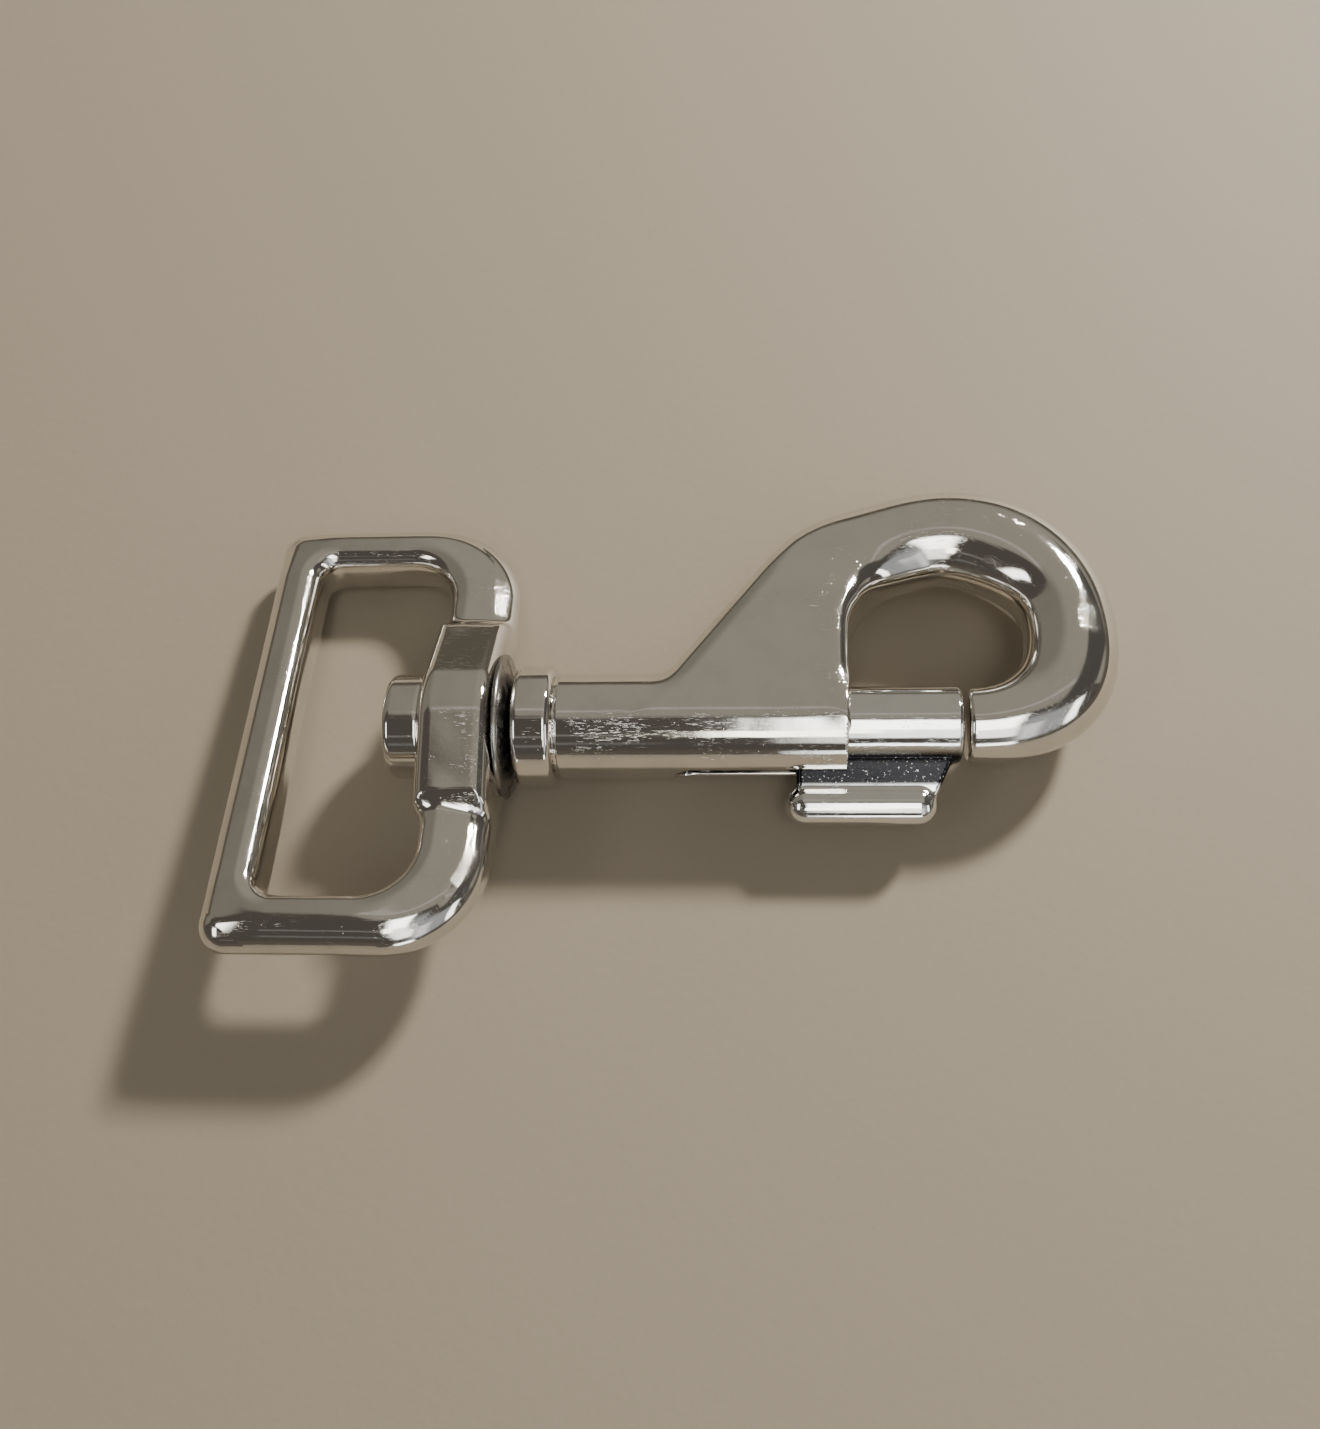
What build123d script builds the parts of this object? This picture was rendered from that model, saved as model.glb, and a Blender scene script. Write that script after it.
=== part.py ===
"""Swivel bolt snap with a square strap eye, lying on its side.

Modelling frame: X runs along the swivel axis and points at the hook, the hook lies in
the XY plane with its crown towards +Y and the thumb lever towards -Y, and X = 0 is the
mouth of the barrel.  place() then moves every piece so that the origin is the centre
of the footprint on the surface that the snap rests on.  Millimetres.
"""
from build123d import *
from math import cos, radians, sin, tan
from copy import copy
import os

# ---- barrel and bore
BARREL_R = 4.15
BARREL_BACK = -22.65          # rear face of the barrel
BORE_R = 3.10
MOUTH_ROUND = 0.45

# ---- bolt
BOLT_R = 3.03                 # 0.07 running clearance in the bore
BOLT_NOSE = 8.90              # its end when the snap is shut
BOLT_BACK = -7.50
BOLT_STROKE = 8.60            # travel that opens the hook
PILOT_R = 1.45
PILOT_LEN = 2.20

# ---- thumb lever, one piece with the bolt
BLADE_HALF = 1.30             # half thickness where it leaves the bolt
BLADE_NECK = 1.00             # half thickness just above the bead
BLADE_BACK = -3.95
BEAD_Y = -6.35
BEAD_R = 1.60
BEAD_BACK = -4.85
BEAD_FRONT = 7.05
BLADE_ROOT_Y = -1.00          # inside the bolt
BLADE_SHOULDER_Y = -2.20      # the blade starts to taper here
BLADE_FRONT = [(6.60, BEAD_Y), (6.95, -5.70), (7.40, -4.50), (8.35, -2.40), (8.35, BLADE_ROOT_Y)]
LEVER_LEAN = 16.0             # degrees the lever and its slot point below the flat of the hook
BOLT_NOSE_ROUND = 0.40
BOLT_BACK_CHAMFER = 0.30
SLOT_HALF = 1.55
SLOT_SPARE = 1.00             # slot beyond the blade when the bolt is right back
SLOT_OVER = 3.00              # the slot runs out through the mouth

# ---- web between barrel and hook
WEB_HALF = 3.85
WEB_EDGE_ROUND = 2.30
WEB_FRONT = 0.30
WEB_SLOPE = 52.7              # degrees, rear edge of the web
WEB_FOOT_R = 4.00             # concave radius where the web meets the barrel
WEB_FOOT_Y = 3.90
WEB_POINT = (-9.90, 9.20)     # a point on the sloping edge
WEB_SLOPE_LEN = 7.90          # from that point to where the crown arc starts
WEB_CROWN = (4.60, 19.80)     # where the crown arc ends, inside the hook
WEB_INNER_TOP = (5.60, 14.00)
WEB_INNER_MID = (2.60, 11.40)
WEB_FRONT_TOP = 7.00          # the front edge is straight up to here
WEB_ROOT_Y = 1.50             # inside the barrel

# ---- hook, a chain of oval sections: inner point, outer point, half thickness
HOOK_SECTIONS = [
    ((0.60, 9.60), (-3.40, 14.60), 2.60),
    ((4.30, 11.90), (1.60, 19.20), 3.30),
    ((8.60, 12.80), (8.90, 20.95), 3.60),
    ((11.90, 11.60), (15.90, 18.85), 3.60),
    ((13.80, 9.85), (20.15, 13.90), 3.55),
    ((14.25, 7.40), (21.65, 7.60), 3.50),
    ((13.75, 5.10), (20.10, 1.60), 3.35),
    ((12.10, 3.45), (14.60, -2.20), 3.15),
    ((9.30, 2.80), (9.30, -2.80), 2.90),
]
TIP_ROUND = 0.40

# ---- collar pressed on the rear of the barrel
COLLAR_R = 4.79
COLLAR_BACK = -26.10
COLLAR_FRONT = -22.95
COLLAR_ROUND = 0.55
NECK_R = 3.85                 # narrow groove between collar and barrel
SPIGOT_R = 3.08
SPIGOT_END = -21.90

# ---- swivel stud
STUD_R = 2.30
STUD_HOLE_R = 2.32            # in the collar, a light press
HEAD_R = 4.20
HEAD_BACK = -36.30
HEAD_FRONT = -33.15
HEAD_ROUND = 0.85
HEAD_CHAMFER = 0.25
CLINCH_R = 2.90               # end spread inside the barrel
CLINCH_LEN = 0.80
CLINCH_CHAMFER = 0.30

# ---- dished thrust washer
WASHER_R = 5.80
WASHER_HOLE_R = 2.38
WASHER_THICK = 0.45
WASHER_DISH = 0.72
WASHER_ROUND = 0.18
WASHER_SEAT = -26.15          # its front face at the hole

# ---- strap eye
EYE_TURN = -8.2               # degrees about the swivel axis as it lies
EYE_BACK = -48.60
EYE_FRONT = -27.00
EYE_HALF = 19.85              # outer half width
BAR = 4.30                    # width of the strap bar and the two arms
FRONT_BAR = 5.75              # width of the bar that carries the boss
EYE_HALF_THICK = 2.75
BAR_ROUND = 1.90
BACK_CORNER_R = 2.30
FRONT_CORNER_R = 7.80
BACK_INNER_R = 1.50
FRONT_INNER_R = 4.00
BOSS_BACK = -33.10
BOSS_FRONT = -27.40
BOSS_HALF = 8.70              # half length along the front bar
BOSS_CROWN = 5.60             # half thickness at the axis
BOSS_APEX_R = 6.00            # the two flanks meet in this radius
BOSS_SLOPE = 20.0             # degrees, each flank
BOSS_ROUND = 0.45
SEAT_R = 7.00                 # flat seat for the washer
EYE_HOLE_R = 2.37             # 0.07 running clearance on the stud

# ---- bolt spring
SPRING_R = 2.20               # mean radius
WIRE_R = 0.27
SPRING_TURNS = 9
SPRING_GAP = 0.03             # clear of what it bears on

TOUCH = 1e-3                  # two places nearer than this are the same


def across(x):
    """The plane square to the swivel axis at x, its own x along Y and its y along Z."""
    return Plane(origin=(x, 0, 0), x_dir=(0, 1, 0), z_dir=(1, 0, 0))


def rod(radius, start, end):
    """A cylinder along X from start to end."""
    return across(start) * extrude(Circle(radius), amount=end - start)


def spun(points):
    """A solid of revolution about X, from (x, radius) points."""
    return revolve(make_face(Polyline(*[(x, r, 0) for x, r in points], close=True)),
                   axis=Axis.X)


def end_edges(solid, x):
    """The edges of a solid that lie in the plane at x."""
    return [edge for edge in solid.edges()
            if abs(edge.bounding_box().min.X - x) < TOUCH
            and abs(edge.bounding_box().max.X - x) < TOUCH]


def web_plate():
    """The flat web that carries the hook, with a rounded rim."""
    slope = Vector(cos(radians(WEB_SLOPE)), sin(radians(WEB_SLOPE)))
    outward = Vector(-slope.Y, slope.X)
    on_slope = Vector(*WEB_POINT)
    centre_y = WEB_FOOT_Y + WEB_FOOT_R
    centre_x = on_slope.X + ((centre_y - on_slope.Y) * outward.Y - WEB_FOOT_R) / -outward.X
    foot = Vector(centre_x, WEB_FOOT_Y)
    foot_mid_angle = radians(-90 + (WEB_SLOPE / 2))
    foot_mid = Vector(centre_x + WEB_FOOT_R * cos(foot_mid_angle),
                      centre_y + WEB_FOOT_R * sin(foot_mid_angle))
    foot_top = Vector(centre_x, centre_y) - outward * WEB_FOOT_R
    slope_top = on_slope + slope * WEB_SLOPE_LEN
    front_top = Vector(WEB_FRONT, WEB_FRONT_TOP)
    front_root = Vector(WEB_FRONT, WEB_ROOT_Y)
    foot_root = Vector(foot.X, WEB_ROOT_Y)
    inner_top = Vector(*WEB_INNER_TOP)
    outline = [
        Line(front_root, foot_root),
        Line(foot_root, foot),
        ThreePointArc(foot, foot_mid, foot_top),
        Line(foot_top, slope_top),
        TangentArc(slope_top, Vector(*WEB_CROWN), tangent=slope),
        Line(Vector(*WEB_CROWN), inner_top),
        Spline(inner_top, Vector(*WEB_INNER_MID), front_top,
               tangents=[Vector(-1, -0.35), Vector(0, -1)]),
        Line(front_top, front_root),
    ]
    plate = extrude(make_face(Curve() + outline), amount=WEB_HALF, both=True)
    rim = [edge for edge in plate.edges()
           if abs(abs(edge.center().Z) - WEB_HALF) < TOUCH and edge.center().Y > WEB_ROOT_Y + 0.1]
    return fillet(rim, WEB_EDGE_ROUND)


def hook_bend():
    """The round hook, lofted through its oval sections."""
    sections = []
    for inner, outer, half_thick in HOOK_SECTIONS:
        inner, outer = Vector(*inner), Vector(*outer)
        outward = (outer - inner).normalized()
        along = Vector(outward.Y, -outward.X)
        plane = Plane(origin=(inner + outer) * 0.5, x_dir=outward, z_dir=along)
        sections.append(plane * Ellipse((outer - inner).length / 2, half_thick))
    return loft(sections)


def lever_slot():
    """The slot under the barrel that the thumb lever slides in, round at its rear end."""
    round_x = BLADE_BACK - BOLT_STROKE - SLOT_SPARE + SLOT_HALF
    long_part = Pos((round_x + SLOT_OVER) / 2, -BARREL_R, 0) * Box(
        SLOT_OVER - round_x, 2 * BARREL_R - BORE_R, 2 * SLOT_HALF)
    round_end = Pos(round_x, -BARREL_R, 0) * Rot(90, 0, 0) * Cylinder(
        SLOT_HALF, 2 * BARREL_R - BORE_R)
    return Rot(LEVER_LEAN, 0, 0) * (long_part + round_end)


def hook_body():
    barrel = rod(BARREL_R, BARREL_BACK, 0)
    barrel = fillet(end_edges(barrel, 0), MOUTH_ROUND)
    tip = HOOK_SECTIONS[-1][0][0]
    bend = hook_bend()
    bend = fillet(end_edges(bend, tip), TIP_ROUND)
    body = barrel + web_plate() + bend
    return body - rod(BORE_R, BARREL_BACK - 1, SLOT_OVER) - lever_slot()


def thumb_blade():
    """The flat part of the thumb lever, thinner towards the bead."""
    side = make_face(Polyline((BLADE_BACK, BLADE_ROOT_Y), (BLADE_BACK, BEAD_Y), *BLADE_FRONT,
                              close=True))
    taper = make_face(Polyline(
        (BLADE_ROOT_Y, BLADE_HALF), (BLADE_SHOULDER_Y, BLADE_HALF), (BEAD_Y, BLADE_NECK),
        (BEAD_Y, -BLADE_NECK), (BLADE_SHOULDER_Y, -BLADE_HALF), (BLADE_ROOT_Y, -BLADE_HALF),
        close=True))
    length = BOLT_NOSE - BLADE_BACK
    return extrude(side, amount=BOLT_R, both=True) & extrude(across(BLADE_BACK) * taper, amount=length)


def thumb_bead():
    """The round bead along the edge of the blade, with domed ends."""
    back, front = BEAD_BACK + BEAD_R, BEAD_FRONT - BEAD_R
    domes = [Pos(x, 0, 0) * Sphere(BEAD_R) for x in (back, front)]
    return Pos(0, BEAD_Y, 0) * (rod(BEAD_R, back, front) + domes[0] + domes[1])


def bolt():
    shank = rod(BOLT_R, BOLT_BACK, BOLT_NOSE)
    shank = fillet(end_edges(shank, BOLT_NOSE), BOLT_NOSE_ROUND)
    shank = chamfer(end_edges(shank, BOLT_BACK), BOLT_BACK_CHAMFER)
    pilot = rod(PILOT_R, BOLT_BACK - PILOT_LEN, BOLT_BACK + 1)
    lever = Rot(LEVER_LEAN, 0, 0) * (thumb_blade() + thumb_bead())
    return shank + pilot + lever


def bolt_spring():
    """Compression spring between the clinched stud and the back of the bolt."""
    start = SPIGOT_END + CLINCH_LEN + WIRE_R + SPRING_GAP
    end = BOLT_BACK - WIRE_R - SPRING_GAP
    path = Helix(pitch=(end - start) / SPRING_TURNS, height=end - start, radius=SPRING_R)
    wire = Plane(origin=path @ 0, z_dir=path % 0) * Circle(WIRE_R)
    return across(start) * sweep(wire, path=path, is_frenet=True)


def barrel_collar():
    ring = rod(COLLAR_R, COLLAR_BACK, COLLAR_FRONT)
    ring = fillet(end_edges(ring, COLLAR_BACK) + end_edges(ring, COLLAR_FRONT), COLLAR_ROUND)
    neck = rod(NECK_R, COLLAR_FRONT - 1, BARREL_BACK)
    spigot = rod(SPIGOT_R, COLLAR_FRONT - 1, SPIGOT_END)
    return ring + neck + spigot - rod(STUD_HOLE_R, COLLAR_BACK - 1, SPIGOT_END + 1)


def swivel_stud():
    head = rod(HEAD_R, HEAD_BACK, HEAD_FRONT)
    head = fillet(end_edges(head, HEAD_BACK), HEAD_ROUND)
    head = chamfer(end_edges(head, HEAD_FRONT), HEAD_CHAMFER)
    shank = rod(STUD_R, HEAD_FRONT - 1, SPIGOT_END)
    clinch = rod(CLINCH_R, SPIGOT_END, SPIGOT_END + CLINCH_LEN)
    clinch = chamfer(end_edges(clinch, SPIGOT_END + CLINCH_LEN), CLINCH_CHAMFER)
    return head + shank + clinch


def thrust_washer():
    front, back = WASHER_SEAT, WASHER_SEAT - WASHER_THICK
    profile = [(front, WASHER_HOLE_R), (front - WASHER_DISH, WASHER_R),
               (back - WASHER_DISH, WASHER_R), (back, WASHER_HOLE_R)]
    disc = spun(profile)
    rim = [edge for edge in disc.edges() if edge.bounding_box().max.Z > WASHER_R - TOUCH]
    return fillet(rim, WASHER_ROUND)


def eye_outline(left, right, half, left_r, right_r):
    """A rectangle along X with small corners at the back and large ones in front."""
    shape = Pos((left + right) / 2, 0) * Rectangle(right - left, 2 * half)
    shape = fillet([v for v in shape.vertices() if v.X < left + TOUCH], left_r)
    return fillet([v for v in shape.vertices() if v.X > right - TOUCH], right_r)


def boss_roof():
    """Outline over the boss: two straight flanks that meet in a round apex."""
    slope = radians(BOSS_SLOPE)
    arc_y = BOSS_APEX_R * sin(slope)
    arc_z = BOSS_CROWN - BOSS_APEX_R * (1 - cos(slope))
    end_z = arc_z - (BOSS_HALF - arc_y) * tan(slope)
    return [Line((-BOSS_HALF, end_z), (-arc_y, arc_z)),
            ThreePointArc((-arc_y, arc_z), (0, BOSS_CROWN), (arc_y, arc_z)),
            Line((arc_y, arc_z), (BOSS_HALF, end_z)),
            Line((BOSS_HALF, end_z), (BOSS_HALF, 0)),
            Line((BOSS_HALF, 0), (-BOSS_HALF, 0)),
            Line((-BOSS_HALF, 0), (-BOSS_HALF, end_z))]


def eye_boss():
    """The thicker, ridged middle of the front bar."""
    upper = make_face(Curve() + boss_roof())
    boss = extrude(across(BOSS_BACK) * upper, amount=BOSS_FRONT - BOSS_BACK)
    boss = boss + mirror(boss, about=Plane.XY)
    return fillet(boss.edges(), BOSS_ROUND)


def swivel_eye():
    outer = eye_outline(EYE_BACK, EYE_FRONT, EYE_HALF, BACK_CORNER_R, FRONT_CORNER_R)
    inner = eye_outline(EYE_BACK + BAR, EYE_FRONT - FRONT_BAR, EYE_HALF - BAR,
                        BACK_INNER_R, FRONT_INNER_R)
    ring = extrude(outer - inner, amount=EYE_HALF_THICK, both=True)
    rims = [edge for edge in ring.edges() if abs(abs(edge.center().Z) - EYE_HALF_THICK) < TOUCH]
    ring = fillet(rims, BAR_ROUND)
    seat = rod(SEAT_R, BOSS_FRONT, EYE_FRONT + 1)
    eye = ring - seat + eye_boss()
    eye = eye - rod(EYE_HOLE_R, BOSS_BACK - 1, EYE_FRONT + 1)
    return Rot(EYE_TURN, 0, 0) * eye


def place(pieces):
    """Move the pieces so that the origin is the centre of the footprint."""
    box = Compound(children=[copy(piece) for piece in pieces.values()]).bounding_box()
    shift = Pos(-(box.min.X + box.max.X) / 2, -(box.min.Y + box.max.Y) / 2, -box.min.Z)
    print("shift from the modelling frame", shift.position)
    print("size", box.size)
    return {name: shift * piece for name, piece in pieces.items()}


def build():
    return place({
        "hook_body": hook_body(),
        "bolt": bolt(),
        "bolt_spring": bolt_spring(),
        "barrel_collar": barrel_collar(),
        "swivel_stud": swivel_stud(),
        "thrust_washer": thrust_washer(),
        "swivel_eye": swivel_eye(),
    })


os.makedirs("parts", exist_ok=True)
for node, piece in build().items():
    export_step(piece, f"parts/{node}.step")
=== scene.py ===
"""Swivel bolt snap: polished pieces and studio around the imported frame.

Lengths are millimetres in the snap's own frame until a mesh is made: X runs along the
swivel axis towards the hook and is 0 at the mouth of the barrel, +Y is towards the crown
of the hook, and Z is up.  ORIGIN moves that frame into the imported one, in metres.
"""
from math import cos, pi, radians, sin, tan

import bpy
import numpy as np
import openvdb
from mathutils import Matrix, Vector

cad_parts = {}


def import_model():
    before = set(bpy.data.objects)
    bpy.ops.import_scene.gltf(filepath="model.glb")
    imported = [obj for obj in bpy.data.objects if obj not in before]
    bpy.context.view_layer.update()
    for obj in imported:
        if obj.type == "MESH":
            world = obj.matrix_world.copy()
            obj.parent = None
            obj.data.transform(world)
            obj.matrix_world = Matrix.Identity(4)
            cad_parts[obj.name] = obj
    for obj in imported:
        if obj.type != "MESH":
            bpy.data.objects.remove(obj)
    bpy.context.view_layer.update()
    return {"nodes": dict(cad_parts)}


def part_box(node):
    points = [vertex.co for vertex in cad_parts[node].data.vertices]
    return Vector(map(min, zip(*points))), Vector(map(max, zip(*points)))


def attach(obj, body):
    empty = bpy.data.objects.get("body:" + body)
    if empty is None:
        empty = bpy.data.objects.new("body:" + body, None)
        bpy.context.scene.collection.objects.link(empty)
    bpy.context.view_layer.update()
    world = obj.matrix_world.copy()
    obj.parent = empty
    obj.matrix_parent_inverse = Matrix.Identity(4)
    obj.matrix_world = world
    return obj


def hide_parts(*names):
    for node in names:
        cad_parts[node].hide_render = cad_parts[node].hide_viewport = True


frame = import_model()

MM = 0.001
COLLAR_BACK = -26.10
_low, _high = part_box("barrel_collar")
ORIGIN = Vector((_low.x - COLLAR_BACK * MM, (_low.y + _high.y) / 2, (_low.z + _high.z) / 2))

# ---- sizes shared with the CAD source
BARREL_R, BARREL_BACK, BORE_R = 4.15, -22.65, 3.10
BOLT_R, BOLT_NOSE, BOLT_BACK = 3.03, 8.90, -7.50
PILOT_R, PILOT_LEN = 1.45, 2.20
BLADE_HALF, BLADE_NECK, BLADE_BACK, BLADE_FRONT = 1.30, 1.00, -3.95, 8.35
BLADE_SHOULDER_Y, BLADE_TAPER, BLADE_BEVEL_Y, BLADE_BEVEL = -2.20, 4.10, -2.40, 0.45
BEAD_Y, BEAD_R, BEAD_BACK, BEAD_FRONT = -6.35, 1.60, -4.85, 7.05
SLOT_HALF, SLOT_BACK = 1.55, -13.55
LEVER_LEAN = radians(16.0)
WEB_HALF, WEB_FRONT, WEB_SLOPE = 3.85, 0.30, radians(52.7)
WEB_POINT, CROWN_R, CROWN_START = (-9.90, 9.20), 11.1, 7.9
WEB_ROOT_Y, WEB_END_X, WEB_EDGE_ROUND, WEB_FRONT_ROUND = -1.5, 6.5, 2.3, 1.2
WEB_SINK, WEB_THIN = 0.15, 1.9
THROAT_R, THROAT_TOP, THROAT_RISE, BOLT_GAP_TOP = 4.4, 7.0, 0.3, 6.5
HOOK_SECTIONS = [
    ((-3.20, 6.60), (-8.20, 10.80), 2.40),
    ((0.40, 9.70), (-3.60, 16.30), 3.10),
    ((4.30, 12.00), (1.55, 19.35), 3.45),
    ((8.60, 12.80), (8.90, 20.95), 3.60),
    ((11.90, 11.60), (15.90, 18.85), 3.60),
    ((13.80, 9.85), (20.15, 13.90), 3.55),
    ((14.25, 7.40), (21.65, 7.60), 3.50),
    ((13.75, 5.10), (20.15, 1.40), 3.35),
    ((12.10, 3.45), (14.70, -2.50), 3.15),
    ((9.30, 2.85), (9.30, -3.05), 2.95),
]
COLLAR_R, COLLAR_FRONT, NECK_R, SPIGOT_R, SPIGOT_END = 4.79, -22.95, 3.85, 3.08, -21.90
COLLAR_HOLE_R = 2.32
STUD_R, HEAD_R, HEAD_BACK, HEAD_FRONT = 2.30, 4.20, -36.30, -33.15
CLINCH_R, CLINCH_LEN = 2.90, 0.80
WASHER_R, WASHER_HOLE_R, WASHER_THICK, WASHER_DISH, WASHER_SEAT = 5.80, 2.38, 0.45, 0.72, -26.15
EYE_TURN = radians(-8.2)
EYE_BACK, EYE_FRONT, EYE_HALF, BAR, FRONT_BAR = -48.60, -27.00, 19.85, 4.30, 5.75
EYE_HALF_THICK, BAR_ROUND, BAR_FALL, BAR_CREST = 2.75, 2.10, 0.23, 0.6
BACK_CORNER_R, FRONT_CORNER_R, BACK_INNER_R, FRONT_INNER_R = 2.30, 7.80, 1.50, 4.00
BOSS_BACK, BOSS_FRONT, BOSS_HALF, BOSS_CROWN = -33.25, -27.40, 8.70, 5.60
BOSS_APEX_R, BOSS_SLOPE, SEAT_R, EYE_HOLE_R = 6.00, radians(20.0), 7.00, 2.37


# ------------------------------------------------------------------ implicit shapes
def smooth_min(a, b, k):
    """The nearer of two distances, blended over k so that curvature stays even."""
    h = np.maximum(k - np.abs(a - b), 0) / k
    return np.minimum(a, b) - h ** 3 * k / 6


def smooth_max(a, b, k):
    return -smooth_min(-a, -b, k)


def round_meet(a, b, r):
    """Where two distances meet in an edge of radius r."""
    a, b = a + r, b + r
    return np.minimum(np.maximum(a, b), 0) + np.hypot(np.maximum(a, 0), np.maximum(b, 0)) - r


def rod(x, y, z, radius, start, end, edge=0.05):
    """A cylinder along X."""
    along = np.abs(x - (start + end) / 2) - (end - start) / 2
    return round_meet(np.hypot(y, z) - radius, along, edge)


def turned(y, z, angle):
    """The same point seen in axes turned by an angle about X."""
    return y * cos(angle) + z * sin(angle), z * cos(angle) - y * sin(angle)


class HookLine:
    """The hook's oval section carried along a smooth curve through its section centres."""

    def __init__(self, sections, samples=220):
        inner = np.array([s[0] for s in sections], float)
        outer = np.array([s[1] for s in sections], float)
        centre = (inner + outer) / 2
        half = np.linalg.norm(outer - inner, axis=1) / 2
        thick = np.array([s[2] for s in sections], float)
        knots = np.concatenate([[0], np.cumsum(np.linalg.norm(np.diff(centre, axis=0), axis=1))])
        self.knots = knots
        self.values = np.column_stack([centre, half, thick])
        end_slope = np.zeros(4)
        end_slope[0] = -1.0
        self.slopes = self.spline_slopes(knots, self.values, end_slope)
        self.length = knots[-1]
        self.table_s = np.linspace(0, self.length, samples)
        self.table = self.at(self.table_s)[0][:, :2]

    @staticmethod
    def spline_slopes(t, v, end_slope):
        """Slopes of the natural cubic spline through the knots, with the last one given."""
        n = len(t)
        h = np.diff(t)[:, None]
        d = np.diff(v, axis=0) / h
        m = np.zeros((n, n))
        rhs = np.zeros_like(v)
        m[0, 0], m[0, 1], rhs[0] = 2, 1, 3 * d[0]
        m[-1, -1], rhs[-1] = 1, end_slope
        for i in range(1, n - 1):
            m[i, i - 1] = h[i, 0]
            m[i, i] = 2 * (h[i, 0] + h[i - 1, 0])
            m[i, i + 1] = h[i - 1, 0]
            rhs[i] = 3 * (d[i - 1] * h[i] + d[i] * h[i - 1])
        return np.linalg.solve(m, rhs)

    def at(self, s):
        """Centre x, centre y, half width and half thickness at s, and their first two slopes."""
        i = np.clip(np.searchsorted(self.knots, s) - 1, 0, len(self.knots) - 2)
        h = (self.knots[i + 1] - self.knots[i])[..., None]
        u = (s - self.knots[i])[..., None] / h
        a, b = self.values[i], self.values[i + 1]
        p, q = self.slopes[i] * h, self.slopes[i + 1] * h
        c2, c3 = 3 * (b - a) - 2 * p - q, 2 * (a - b) + p + q
        value = a + u * (p + u * (c2 + u * c3))
        first = (p + u * (2 * c2 + u * 3 * c3)) / h
        second = (2 * c2 + 6 * c3 * u) / h ** 2
        return value, first, second

    def nearest(self, x, y):
        """Place along the curve nearest to each point, by table and then Newton steps."""
        flat = np.column_stack([x.ravel(), y.ravel()])
        s = np.empty(len(flat))
        for k in range(0, len(flat), 20000):
            part = flat[k:k + 20000]
            away = ((part[:, None, :] - self.table[None]) ** 2).sum(-1)
            s[k:k + 20000] = self.table_s[away.argmin(1)]
        for _ in range(4):
            value, first, second = self.at(s)
            gap = value[:, :2] - flat
            slope = (gap * first[:, :2]).sum(1)
            bend = (first[:, :2] ** 2).sum(1) + (gap * second[:, :2]).sum(1)
            s = np.clip(s - np.clip(slope / np.maximum(bend, 0.3), -0.5, 0.5), 0, self.length)
        return s.reshape(x.shape)

    def __call__(self, x, y, z):
        x, y = np.broadcast_arrays(x, y)
        s = self.nearest(x, y)
        value, first, _ = self.at(s)
        gap_x, gap_y = x - value[..., 0], y - value[..., 1]
        norm = np.hypot(first[..., 0], first[..., 1])
        past = (gap_x * first[..., 0] + gap_y * first[..., 1]) / norm
        side = (gap_x * first[..., 1] - gap_y * first[..., 0]) / norm
        reach = np.hypot(side, z)
        oval = np.sqrt((side / value[..., 2]) ** 2 + (z / value[..., 3]) ** 2)
        tube = reach - reach / np.maximum(oval, 1e-6)
        ends = np.maximum(s - self.length + past, -s - past)
        return round_meet(tube, ends, 0.4)


hook_line = HookLine(HOOK_SECTIONS)


def web(x, y):
    """The flat web: below its sloping edge and the crown arc, behind its front edge."""
    slope = np.array([cos(WEB_SLOPE), sin(WEB_SLOPE)])
    outward = np.array([-slope[1], slope[0]])
    start = np.array(WEB_POINT) + slope * CROWN_START
    centre = start - outward * CROWN_R
    along = (x - start[0]) * slope[0] + (y - start[1]) * slope[1]
    straight = (x - start[0]) * outward[0] + (y - start[1]) * outward[1]
    outer = np.where(along < 0, straight, np.hypot(x - centre[0], y - centre[1]) - CROWN_R)
    qx = WEB_FRONT + THROAT_R - x
    qy = y - THROAT_TOP - THROAT_RISE * np.clip(x - 1.0, 0, 6)
    throat = np.hypot(np.maximum(qx, 0), np.maximum(qy, 0)) - THROAT_R
    throat += np.minimum(np.maximum(qx, qy), 0)
    flat = smooth_max(smooth_max(outer, -throat, 0.8), WEB_ROOT_Y - y, 0.5)
    return smooth_max(flat, x - WEB_END_X, 1.0)


def ease(share):
    """A share held between 0 and 1, with soft ends."""
    share = np.clip(share, 0, 1)
    return share * share * (3 - 2 * share)


def hook_body(x, y, z):
    """Barrel, web and hook; the web thins as it goes into the crown of the hook."""
    front = ease(np.clip((x + 3.0) / 3.0, 0, 1) * np.clip((13.0 - y) / 4.0, 0, 1))
    edge = WEB_EDGE_ROUND + (WEB_FRONT_ROUND - WEB_EDGE_ROUND) * front
    sink = ease((0.6 * x + 0.8 * y - 6.0) / 12.0)
    plate = round_meet(web(x, y) + WEB_SINK * sink, np.abs(z) - WEB_HALF + WEB_THIN * sink, edge)
    body = smooth_min(plate, rod(x, y, z, BARREL_R, BARREL_BACK, 0, 0.12), 1.2)
    body = smooth_max(body, np.minimum(x - WEB_FRONT, BOLT_GAP_TOP - y), 0.3)
    bore = rod(x, y, z, BORE_R, BARREL_BACK - 2, 5)
    low_y, low_z = turned(y, z, LEVER_LEAN)
    slot_x = np.maximum(SLOT_BACK + SLOT_HALF - x, 0)
    slot = np.maximum(np.hypot(slot_x, low_z) - SLOT_HALF, low_y)
    body = smooth_max(smooth_max(body, -bore, 0.5), -slot, 0.25)
    return smooth_min(body, hook_line(x, y, z), 1.5)


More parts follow.
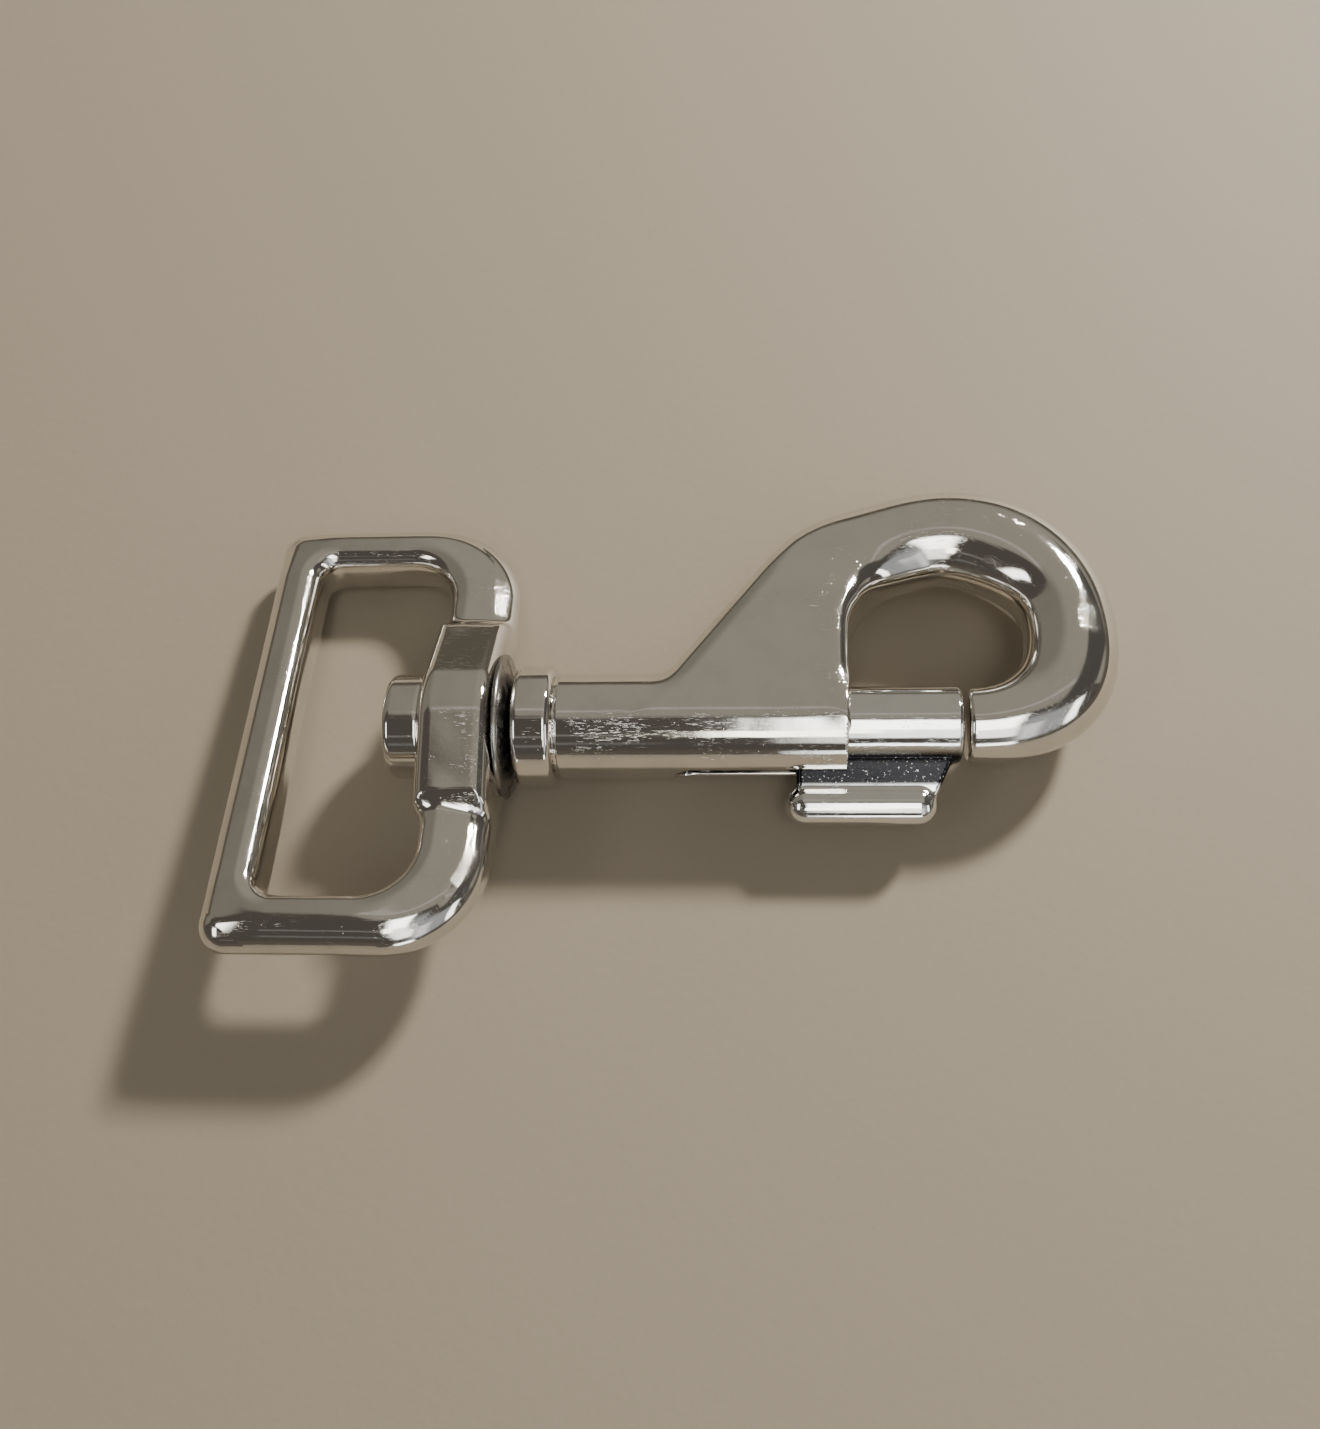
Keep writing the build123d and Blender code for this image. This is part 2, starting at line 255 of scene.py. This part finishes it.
def bolt(x, y, z):
    """Plunger with its thumb lever, whose blade thins towards the bead."""
    shank = rod(x, y, z, BOLT_R, BOLT_BACK, BOLT_NOSE, 0.42)
    pilot = rod(x, y, z, PILOT_R, BOLT_BACK - PILOT_LEN, BOLT_BACK + 1, 0.2)
    y, z = turned(y, z, LEVER_LEAN)
    depth = np.clip((BLADE_SHOULDER_Y - y) / BLADE_TAPER, 0, 1)
    thick = np.abs(z) - (BLADE_HALF + (BLADE_NECK - BLADE_HALF) * depth)
    front = BLADE_FRONT - BLADE_BEVEL * np.maximum(BLADE_BEVEL_Y - y, 0)
    length = np.maximum(BLADE_BACK - x, x - front)
    height = np.maximum(y, BEAD_Y - y)
    blade = round_meet(np.maximum(length, height), thick, 0.35)
    bead_x = np.clip(x, BEAD_BACK + BEAD_R, BEAD_FRONT - BEAD_R)
    bead = np.sqrt((x - bead_x) ** 2 + (y - BEAD_Y) ** 2 + z ** 2) - BEAD_R
    lever = smooth_min(blade, bead, 0.35)
    return smooth_min(smooth_min(shank, lever, 0.9), pilot, 0.2)


def box_outline(x, y, back, front, half, back_r, front_r):
    """A rectangle with its own corner radius at the back and at the front."""
    middle = (back + front) / 2
    r = np.where(x < middle, back_r, front_r)
    qx = np.abs(x - middle) - (front - back) / 2 + r
    qy = np.abs(y) - half + r
    return np.minimum(np.maximum(qx, qy), 0) + np.hypot(np.maximum(qx, 0), np.maximum(qy, 0)) - r


def swivel_eye(x, y, z):
    """Square frame, its bars highest near the inside, with a ridged boss for the stud."""
    y, z = turned(y, z, EYE_TURN)
    outer = box_outline(x, y, EYE_BACK, EYE_FRONT, EYE_HALF, BACK_CORNER_R, FRONT_CORNER_R)
    inner = box_outline(x, y, EYE_BACK + BAR, EYE_FRONT - FRONT_BAR, EYE_HALF - BAR,
                        BACK_INNER_R, FRONT_INNER_R)
    fall = BAR_FALL * np.clip(inner - BAR_CREST, 0, BAR - BAR_CREST)
    ring = round_meet(smooth_max(outer, -inner, 1.8), np.abs(z) - EYE_HALF_THICK + fall, BAR_ROUND)
    ring = smooth_max(ring, -rod(x, y, z, SEAT_R, BOSS_FRONT, EYE_FRONT + 2, 0.1), 0.9)
    arc_y = BOSS_APEX_R * sin(BOSS_SLOPE)
    on_arc = np.minimum(np.abs(y), arc_y)
    arc_drop = BOSS_APEX_R - np.sqrt(BOSS_APEX_R ** 2 - on_arc ** 2)
    roof = BOSS_CROWN - arc_drop - np.maximum(np.abs(y) - arc_y, 0) * tan(BOSS_SLOPE)
    top = (np.abs(z) - roof) * cos(BOSS_SLOPE)
    ends = np.abs(y) - BOSS_HALF
    sides = np.abs(x - (BOSS_BACK + BOSS_FRONT) / 2) - (BOSS_FRONT - BOSS_BACK) / 2
    boss = round_meet(round_meet(ends, sides, 0.6), top, 1.2)
    eye = smooth_min(ring, boss, 1.6)
    return smooth_max(eye, -rod(x, y, z, EYE_HOLE_R, BOSS_BACK - 2, EYE_FRONT + 2), 0.4)


def barrel_collar(x, y, z):
    """Ring behind the barrel, with a neck and a spigot that enters the bore."""
    ring = rod(x, y, z, COLLAR_R, COLLAR_BACK, COLLAR_FRONT, 0.55)
    neck = rod(x, y, z, NECK_R, COLLAR_FRONT - 1, BARREL_BACK)
    spigot = rod(x, y, z, SPIGOT_R, COLLAR_FRONT - 1, SPIGOT_END)
    hole = rod(x, y, z, COLLAR_HOLE_R, COLLAR_BACK - 2, SPIGOT_END + 2)
    solid = smooth_min(np.minimum(ring, neck), spigot, 0.1)
    return smooth_max(solid, -hole, 0.2)


def swivel_stud(x, y, z):
    """Headed stud, clinched inside the barrel."""
    head = rod(x, y, z, HEAD_R, HEAD_BACK, HEAD_FRONT, 0.60)
    shank = rod(x, y, z, STUD_R, HEAD_FRONT - 1, SPIGOT_END + 0.2)
    clinch = rod(x, y, z, CLINCH_R, SPIGOT_END, SPIGOT_END + CLINCH_LEN, 0.25)
    return smooth_min(smooth_min(head, shank, 0.2), clinch, 0.1)


def thrust_washer(x, y, z):
    """Dished washer that rides on the stud."""
    radius = np.hypot(y, z)
    share = (radius - WASHER_HOLE_R) / (WASHER_R - WASHER_HOLE_R)
    middle = WASHER_SEAT - WASHER_THICK / 2 - WASHER_DISH * share
    ends = np.abs(radius - (WASHER_R + WASHER_HOLE_R) / 2) - (WASHER_R - WASHER_HOLE_R) / 2
    return round_meet(ends, np.abs(x - middle) - WASHER_THICK / 2, 0.18)


# ------------------------------------------------------------------ meshes
def slopes_of(shape, points, step=0.01):
    """Outward normals of an implicit shape, by central differences."""
    out = np.empty_like(points)
    for axis in range(3):
        offset = np.zeros(3)
        offset[axis] = step
        ahead, behind = points + offset, points - offset
        out[:, axis] = shape(*ahead.T) - shape(*behind.T)
    out /= 2 * step
    return out


def make_object(name, points, faces, normals):
    """A smooth mesh object from millimetre points, with its own normals."""
    mesh = bpy.data.meshes.new(name)
    mesh.from_pydata((points * MM + np.array(ORIGIN)).tolist(), [], faces)
    mesh.shade_smooth()
    mesh.update()
    mesh.normals_split_custom_set_from_vertices(normals.tolist())
    piece = bpy.data.objects.new(name, mesh)
    bpy.context.scene.collection.objects.link(piece)
    return piece


def skin(name, shape, low, high, step):
    """Quad skin of an implicit shape, each point moved onto the exact surface."""
    low, high = np.array(low, float), np.array(high, float)
    counts = np.ceil((high - low) / step).astype(int) + 1
    x, y, z = (low[a] + step * np.arange(counts[a]) for a in range(3))
    field = np.empty(counts, np.float32)
    for k, height in enumerate(z):
        field[:, :, k] = shape(x[:, None], y[None, :], height)
    field = np.clip(field / step, -4, 4)
    grid = openvdb.FloatGrid(background=4.0)
    grid.copyFromArray(field)
    grid.gridClass = openvdb.GridClass.LEVEL_SET
    points, quads = grid.convertToQuads(isovalue=0.0)
    points = np.asarray(points, float) * step + low
    for _ in range(4):
        normal = slopes_of(shape, points)
        size = np.maximum((normal ** 2).sum(1), 0.05)
        move = np.clip(shape(*points.T) / size, -step, step)
        points -= normal * move[:, None]
    normal = slopes_of(shape, points)
    normal /= np.maximum(np.linalg.norm(normal, axis=1), 1e-9)[:, None]
    faces = np.asarray(quads, int)
    corner = points[faces]
    facing = np.cross(corner[:, 2] - corner[:, 0], corner[:, 3] - corner[:, 1])
    if (facing * normal[faces[:, 0]]).sum() < 0:
        faces = faces[:, ::-1]
    return make_object(name, points, faces.tolist(), normal)


# ------------------------------------------------------------------ materials
class Tree:
    """Short names for building a node tree."""

    def __init__(self, owner):
        owner.use_nodes = True
        self.nodes = owner.node_tree.nodes
        self.links = owner.node_tree.links
        self.nodes.clear()

    def add(self, kind, inputs=(), **settings):
        made = self.nodes.new(kind)
        for key, value in settings.items():
            setattr(made, key, value)
        for key, value in dict(inputs).items():
            self.set(made.inputs[key], value)
        return made

    def set(self, socket, value):
        if isinstance(value, bpy.types.NodeSocket):
            self.links.new(value, socket)
        else:
            socket.default_value = value

    def math(self, operation, a, b=0.0, clamp=False):
        made = self.add("ShaderNodeMath", {0: a, 1: b}, operation=operation, use_clamp=clamp)
        return made.outputs[0]

    def spread(self, value, low, high, to_low=0.0, to_high=1.0):
        made = self.add("ShaderNodeMapRange", {
            "Value": value, "From Min": low, "From Max": high,
            "To Min": to_low, "To Max": to_high}, interpolation_type="SMOOTHSTEP")
        return made.outputs["Result"]

    def noise(self, vector, scale, detail=3.0, rough=0.5, stretch=(1, 1, 1), turn=(0, 0, 0)):
        place = self.add("ShaderNodeMapping", {
            "Vector": vector, "Scale": stretch, "Rotation": turn})
        made = self.add("ShaderNodeTexNoise", {
            "Vector": place.outputs[0], "Scale": scale, "Detail": detail, "Roughness": rough})
        return made.outputs["Fac"]

    def mix_colour(self, amount, a, b):
        made = self.add("ShaderNodeMix", {0: amount, 6: a, 7: b}, data_type="RGBA")
        return made.outputs[2]


def polished_plate(name, tint, haze, wear, painted_shade_y=None):
    """Nickel plate over a casting: faint waves, fine scratches, pits and wiped haze.

    The optional band of Y, in millimetres, is painted near black with light specks as painted
    shade and dark reflection across the lever blade, and is also made rougher.
    """
    material = bpy.data.materials.new(name)
    t = Tree(material)
    place = t.add("ShaderNodeTexCoord").outputs["Object"]
    mm = t.add("ShaderNodeMapping", {"Vector": place, "Scale": (1000, 1000, 1000)}).outputs[0]

    waves = t.noise(mm, 0.22, 1.0)
    cast = t.noise(mm, 1.1, 2.0)
    scratches = None
    for turn, scale in (((0.3, 0.2, 0.4), 1.3), ((0.9, 1.1, 1.9), 1.1), ((1.6, 0.4, 2.7), 1.5)):
        lines = t.noise(mm, scale, 2.0, 0.6, (0.6, 17.0, 17.0), turn)
        lines = t.spread(lines, 0.655, 0.72)
        scratches = lines if scratches is None else t.math("MAXIMUM", scratches, lines)
    patches = t.spread(t.noise(mm, 0.30, 3.0), 0.42, 0.68)
    scratches = t.math("MULTIPLY", scratches, t.math("ADD", t.math("MULTIPLY", patches, 0.8), 0.2))
    cells = t.add("ShaderNodeTexVoronoi", {"Vector": mm, "Scale": 2.6})
    pits = t.spread(cells.outputs["Distance"], 0.13, 0.05)
    pits = t.math("MULTIPLY", pits, t.spread(t.noise(mm, 0.5, 2.0), 0.52, 0.66))

    rough = t.math("ADD", haze, t.math("MULTIPLY", patches, haze * 0.9))
    rough = t.math("ADD", rough, t.math("MULTIPLY", scratches, 0.16 * wear))
    rough = t.math("ADD", rough, t.math("MULTIPLY", pits, 0.2), clamp=True)

    height = t.math("ADD", t.math("MULTIPLY", waves, 0.030), t.math("MULTIPLY", cast, 0.0026))
    height = t.math("SUBTRACT", height, t.math("MULTIPLY", scratches, 0.0016 * wear))
    height = t.math("SUBTRACT", height, t.math("MULTIPLY", pits, 0.006))
    bump = t.add("ShaderNodeBump", {"Height": height, "Strength": 1.0, "Distance": MM})

    dull = tuple(c * 0.80 for c in tint)
    colour = t.mix_colour(t.math("MULTIPLY", patches, 0.35), (*tint, 1), (*dull, 1))
    colour = t.mix_colour(t.math("MULTIPLY", scratches, 0.25 * wear), colour,
                          (*(min(1.0, c * 1.12) for c in tint), 1))
    colour = t.mix_colour(t.math("MULTIPLY", pits, 0.5), colour, (0.16, 0.13, 0.10, 1))

    # Painted shade: the band of Y is painted near black with light specks, standing in for shade
    # and dark reflection on the blade.
    if painted_shade_y:
        across = t.add("ShaderNodeSeparateXYZ", {0: mm}).outputs[1]
        across = t.math("SUBTRACT", across, ORIGIN.y / MM)
        soft = 0.25
        painted_shade_mask = t.math("MULTIPLY", t.spread(across, painted_shade_y[0] - soft, painted_shade_y[0] + soft),
                      t.spread(across, painted_shade_y[1] + soft, painted_shade_y[1] - soft))
        specks = t.spread(t.noise(mm, 4.5, 4.0, 0.7), 0.60, 0.70)
        painted_shade_colour = t.mix_colour(specks, (0.016, 0.016, 0.018, 1), (0.40, 0.39, 0.38, 1))
        colour = t.mix_colour(painted_shade_mask, colour, painted_shade_colour)
        rough = t.math("ADD", rough, t.math("MULTIPLY", painted_shade_mask, 0.16))

    shader = t.add("ShaderNodeBsdfPrincipled", {
        "Base Color": colour, "Metallic": 1.0, "Roughness": rough, "Normal": bump.outputs[0]})
    t.add("ShaderNodeOutputMaterial", {"Surface": shader.outputs[0]})
    return material


def dark_washer_steel():
    """Turned dark steel, oxidised in patches, with rings from the tool."""
    material = bpy.data.materials.new("dark_turned_steel")
    t = Tree(material)
    place = t.add("ShaderNodeTexCoord").outputs["Object"]
    centre = tuple(-c for c in ORIGIN)
    moved = t.add("ShaderNodeMapping", {"Vector": place, "Location": centre}).outputs[0]
    mm = t.add("ShaderNodeMapping", {"Vector": moved, "Scale": (1000, 1000, 1000)}).outputs[0]
    parts = t.add("ShaderNodeSeparateXYZ", {0: mm})
    radius = t.math("SQRT", t.math("ADD", t.math("MULTIPLY", parts.outputs[1], parts.outputs[1]),
                                   t.math("MULTIPLY", parts.outputs[2], parts.outputs[2])))
    rings = t.math("SINE", t.math("MULTIPLY", radius, 42.0))
    rust = t.spread(t.noise(mm, 0.9, 4.0), 0.48, 0.72)
    grain = t.noise(mm, 9.0, 2.0)
    colour = t.mix_colour(rust, (0.30, 0.295, 0.285, 1), (0.15, 0.135, 0.115, 1))
    rough = t.math("ADD", 0.24, t.math("MULTIPLY", rust, 0.25))
    height = t.math("ADD", t.math("MULTIPLY", rings, 0.0010), t.math("MULTIPLY", grain, 0.0018))
    bump = t.add("ShaderNodeBump", {"Height": height, "Strength": 1.0, "Distance": MM})
    shader = t.add("ShaderNodeBsdfPrincipled", {
        "Base Color": colour, "Metallic": 1.0, "Roughness": rough, "Normal": bump.outputs[0]})
    t.add("ShaderNodeOutputMaterial", {"Surface": shader.outputs[0]})
    return material


def spring_wire():
    """Drawn wire with die lines along it and a little grease tint."""
    material = bpy.data.materials.new("drawn_spring_wire")
    t = Tree(material)
    place = t.add("ShaderNodeTexCoord").outputs["Object"]
    mm = t.add("ShaderNodeMapping", {"Vector": place, "Scale": (1000, 1000, 1000)}).outputs[0]
    lines = t.noise(mm, 3.0, 3.0, 0.6, (6, 1, 1))
    colour = t.mix_colour(lines, (0.52, 0.52, 0.53, 1), (0.30, 0.28, 0.25, 1))
    rough = t.math("ADD", 0.22, t.math("MULTIPLY", lines, 0.2))
    bump = t.add("ShaderNodeBump", {"Height": t.math("MULTIPLY", lines, 0.004), "Distance": MM})
    shader = t.add("ShaderNodeBsdfPrincipled", {
        "Base Color": colour, "Metallic": 1.0, "Roughness": rough, "Normal": bump.outputs[0]})
    t.add("ShaderNodeOutputMaterial", {"Surface": shader.outputs[0]})
    return material


# ------------------------------------------------------------------ the pieces
def fit(piece, node, body, material):
    """Puts a finished piece in the place of its CAD node."""
    piece.data.materials.append(material)
    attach(piece, body)
    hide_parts(node)
    return piece


FINE = 0.20
FINER = 0.12
# Band of Y across the lever blade that is painted dark with specks, as painted shade and dark
# reflection.
LEVER_PAINTED_SHADE_Y = (-5.0, -2.75)
cast_plate = polished_plate("nickel_plate_cast", (0.80, 0.78, 0.74), 0.050, 1.2)
turned_plate = polished_plate("nickel_plate_turned", (0.81, 0.79, 0.755), 0.045, 0.8)
bright_plate = polished_plate("nickel_plate_bright", (0.86, 0.86, 0.84), 0.040, 1.4, LEVER_PAINTED_SHADE_Y)

fit(skin("hook_body_polished", hook_body, (-23.4, -5.0, -4.9), (22.6, 22.0, 4.9), FINE),
    "hook_body", "snap", cast_plate)
fit(skin("bolt_polished", bolt, (-10.4, -9.2, -3.7), (9.6, 3.7, 3.7), FINE),
    "bolt", "bolt", bright_plate)
fit(skin("swivel_eye_polished", swivel_eye, (-49.4, -21.0, -6.6), (-26.2, 21.0, 6.6), FINE),
    "swivel_eye", "eye", cast_plate)
fit(skin("barrel_collar_polished", barrel_collar, (-26.7, -5.4, -5.4), (-21.3, 5.4, 5.4), FINER),
    "barrel_collar", "snap", turned_plate)
fit(skin("swivel_stud_polished", swivel_stud, (-37.6, -4.9, -4.9), (-20.4, 4.9, 4.9), FINER),
    "swivel_stud", "snap", turned_plate)
fit(skin("thrust_washer_turned", thrust_washer, (-28.0, -6.4, -6.4), (-25.6, 6.4, 6.4), FINER),
    "thrust_washer", "washer", dark_washer_steel())

spring = frame["nodes"]["bolt_spring"]
spring.data.materials.clear()
spring.data.materials.append(spring_wire())


# ------------------------------------------------------------------ studio
def floor():
    """A plain dull brown floor at height 0, under the snap."""
    mesh = bpy.data.meshes.new("studio_floor")
    half = 1.5
    mesh.from_pydata([(-half, -half, 0), (half, -half, 0), (half, half, 0), (-half, half, 0)],
                     [], [(0, 1, 2, 3)])
    piece = bpy.data.objects.new("studio_floor", mesh)
    bpy.context.scene.collection.objects.link(piece)
    material = bpy.data.materials.new("studio_floor")
    t = Tree(material)
    place = t.add("ShaderNodeTexCoord").outputs["Object"]
    grain = t.noise(place, 900.0, 3.0)
    bump = t.add("ShaderNodeBump", {"Height": grain, "Strength": 0.15, "Distance": 0.0002})
    shader = t.add("ShaderNodeBsdfPrincipled", {
        "Base Color": (0.205, 0.172, 0.128, 1), "Roughness": 0.75, "Normal": bump.outputs[0]})
    t.add("ShaderNodeOutputMaterial", {"Surface": shader.outputs[0]})
    piece.data.materials.append(material)


CAMERA_PLACE, CAMERA_TURNS = (-5.70, -47.09, 103.34), (25.0, 4.24, 1.66)
SENSOR = 36.0
LENS = SENSOR * 1430 / 1429


def camera():
    """Above the snap on the lever's side, about 11 cm away."""
    place = Vector(CAMERA_PLACE) * MM + ORIGIN
    tilt, lean, roll = (Matrix.Rotation(radians(angle), 3, axis)
                        for angle, axis in zip(CAMERA_TURNS, "XYZ"))
    data = bpy.data.cameras.new("camera")
    data.lens = LENS
    data.sensor_width = SENSOR
    data.clip_start = 0.001
    made = bpy.data.objects.new("camera", data)
    made.matrix_world = Matrix.Translation(place) @ (roll @ lean @ tilt).to_4x4()
    bpy.context.scene.collection.objects.link(made)
    bpy.context.scene.camera = made


SKY_DARK, SKY_PALE = (0.086, 0.077, 0.067), (0.325, 0.302, 0.252)
SKY_PATCHES = [
    # lean from, to; side from, to; softness (degrees); colour
    (-125, -20, 14, 50, 9.0, (0.42, 0.43, 0.44)),
    (6, 10, -14, 60, 1.5, (0.47, 0.45, 0.40)),
    (-9.5, -7.5, -12, 0, 0.8, (0.24, 0.225, 0.20)),
    (-64, -38, 2.0, 17, 3.0, (2.6, 2.6, 2.5)),
    (-39, -11, 0.5, 15, 3.0, (6.0, 6.0, 5.7)),
    (-50, -37, -2.5, 4, 1.5, (6.0, 5.9, 5.0)),
    (-108, 4, 49, 58, 2.0, (4.2, 4.2, 4.1)),
    (-50, -14, -46, -33, 3.0, (4.6, 4.5, 4.2)),
    (-47, -43, -22, -5, 1.2, (0.20, 0.19, 0.18)),
    (-66, -61, -22, -5, 1.8, (0.17, 0.165, 0.155)),
    (-22, 66, 31, 68, 3.0, (0.085, 0.080, 0.072)),
    (-84, -38, 19, 31, 4.0, (1.1, 1.1, 1.1)),
]

SKY_HORIZON, HORIZON_TOP, HORIZON_FULL = (0.112, 0.098, 0.078), 0.26, 0.10
LOW_WINDOW = (-93, -82, 2.0, 18, 2.0, (4.5, 4.6, 4.6))


def world():
    """A dome, pale over the hook's side and dark over the lever's, with soft windows."""
    made = bpy.data.worlds.new("studio")
    bpy.context.scene.world = made
    t = Tree(made)
    ray = t.add("ShaderNodeTexCoord").outputs["Generated"]
    parts = t.add("ShaderNodeSeparateXYZ", {0: ray})
    lean = t.math("DEGREES", t.math("ARCTAN2", parts.outputs[1], parts.outputs[2]))
    side = t.math("DEGREES", t.math("ARCSINE", parts.outputs[0]))

    def between(value, low, high, soft):
        above = t.spread(value, low - soft, low + soft)
        return t.math("MULTIPLY", above, t.spread(value, high + soft, high - soft))

    def add_patch(under, lean_low, lean_high, side_low, side_high, soft, tint):
        mask = t.math("MULTIPLY", between(lean, lean_low, lean_high, soft),
                      between(side, side_low, side_high, soft))
        return t.mix_colour(mask, under, (*tint, 1))

    edge = t.math("MULTIPLY", t.spread(side, -6.0, -24.0), 20.0)
    pale = t.spread(t.math("SUBTRACT", lean, edge), -11.0, -4.0)
    shade = tuple(c * 0.66 for c in SKY_PALE)
    light = t.mix_colour(t.spread(side, -26.0, -4.0), (*shade, 1), (*SKY_PALE, 1))
    colour = t.mix_colour(pale, (*SKY_DARK, 1), light)
    for patch in SKY_PATCHES:
        colour = add_patch(colour, *patch)
    low_sky = t.spread(parts.outputs[2], HORIZON_TOP, HORIZON_FULL)
    colour = t.mix_colour(low_sky, colour, (*SKY_HORIZON, 1))
    colour = add_patch(colour, *LOW_WINDOW)
    back = t.add("ShaderNodeBackground", {"Color": colour, "Strength": 1.0})
    t.add("ShaderNodeOutputWorld", {"Surface": back.outputs[0]})


def softbox(name, place, aim, size, power, colour):
    """An area light at a place in millimetres, facing another."""
    data = bpy.data.lights.new(name, "AREA")
    data.shape = "RECTANGLE"
    data.size, data.size_y = size[0] * MM, size[1] * MM
    data.energy = power
    data.color = colour
    made = bpy.data.objects.new(name, data)
    made.location = Vector(place) * MM + ORIGIN
    made.rotation_mode = "QUATERNION"
    made.rotation_quaternion = (Vector(aim) - Vector(place)).to_track_quat("-Z", "Y")
    bpy.context.scene.collection.objects.link(made)


floor()
camera()
world()
softbox("key", (265, 330, 319), (0, 0, 0), (62, 62), 6.5, (1.0, 0.95, 0.88))
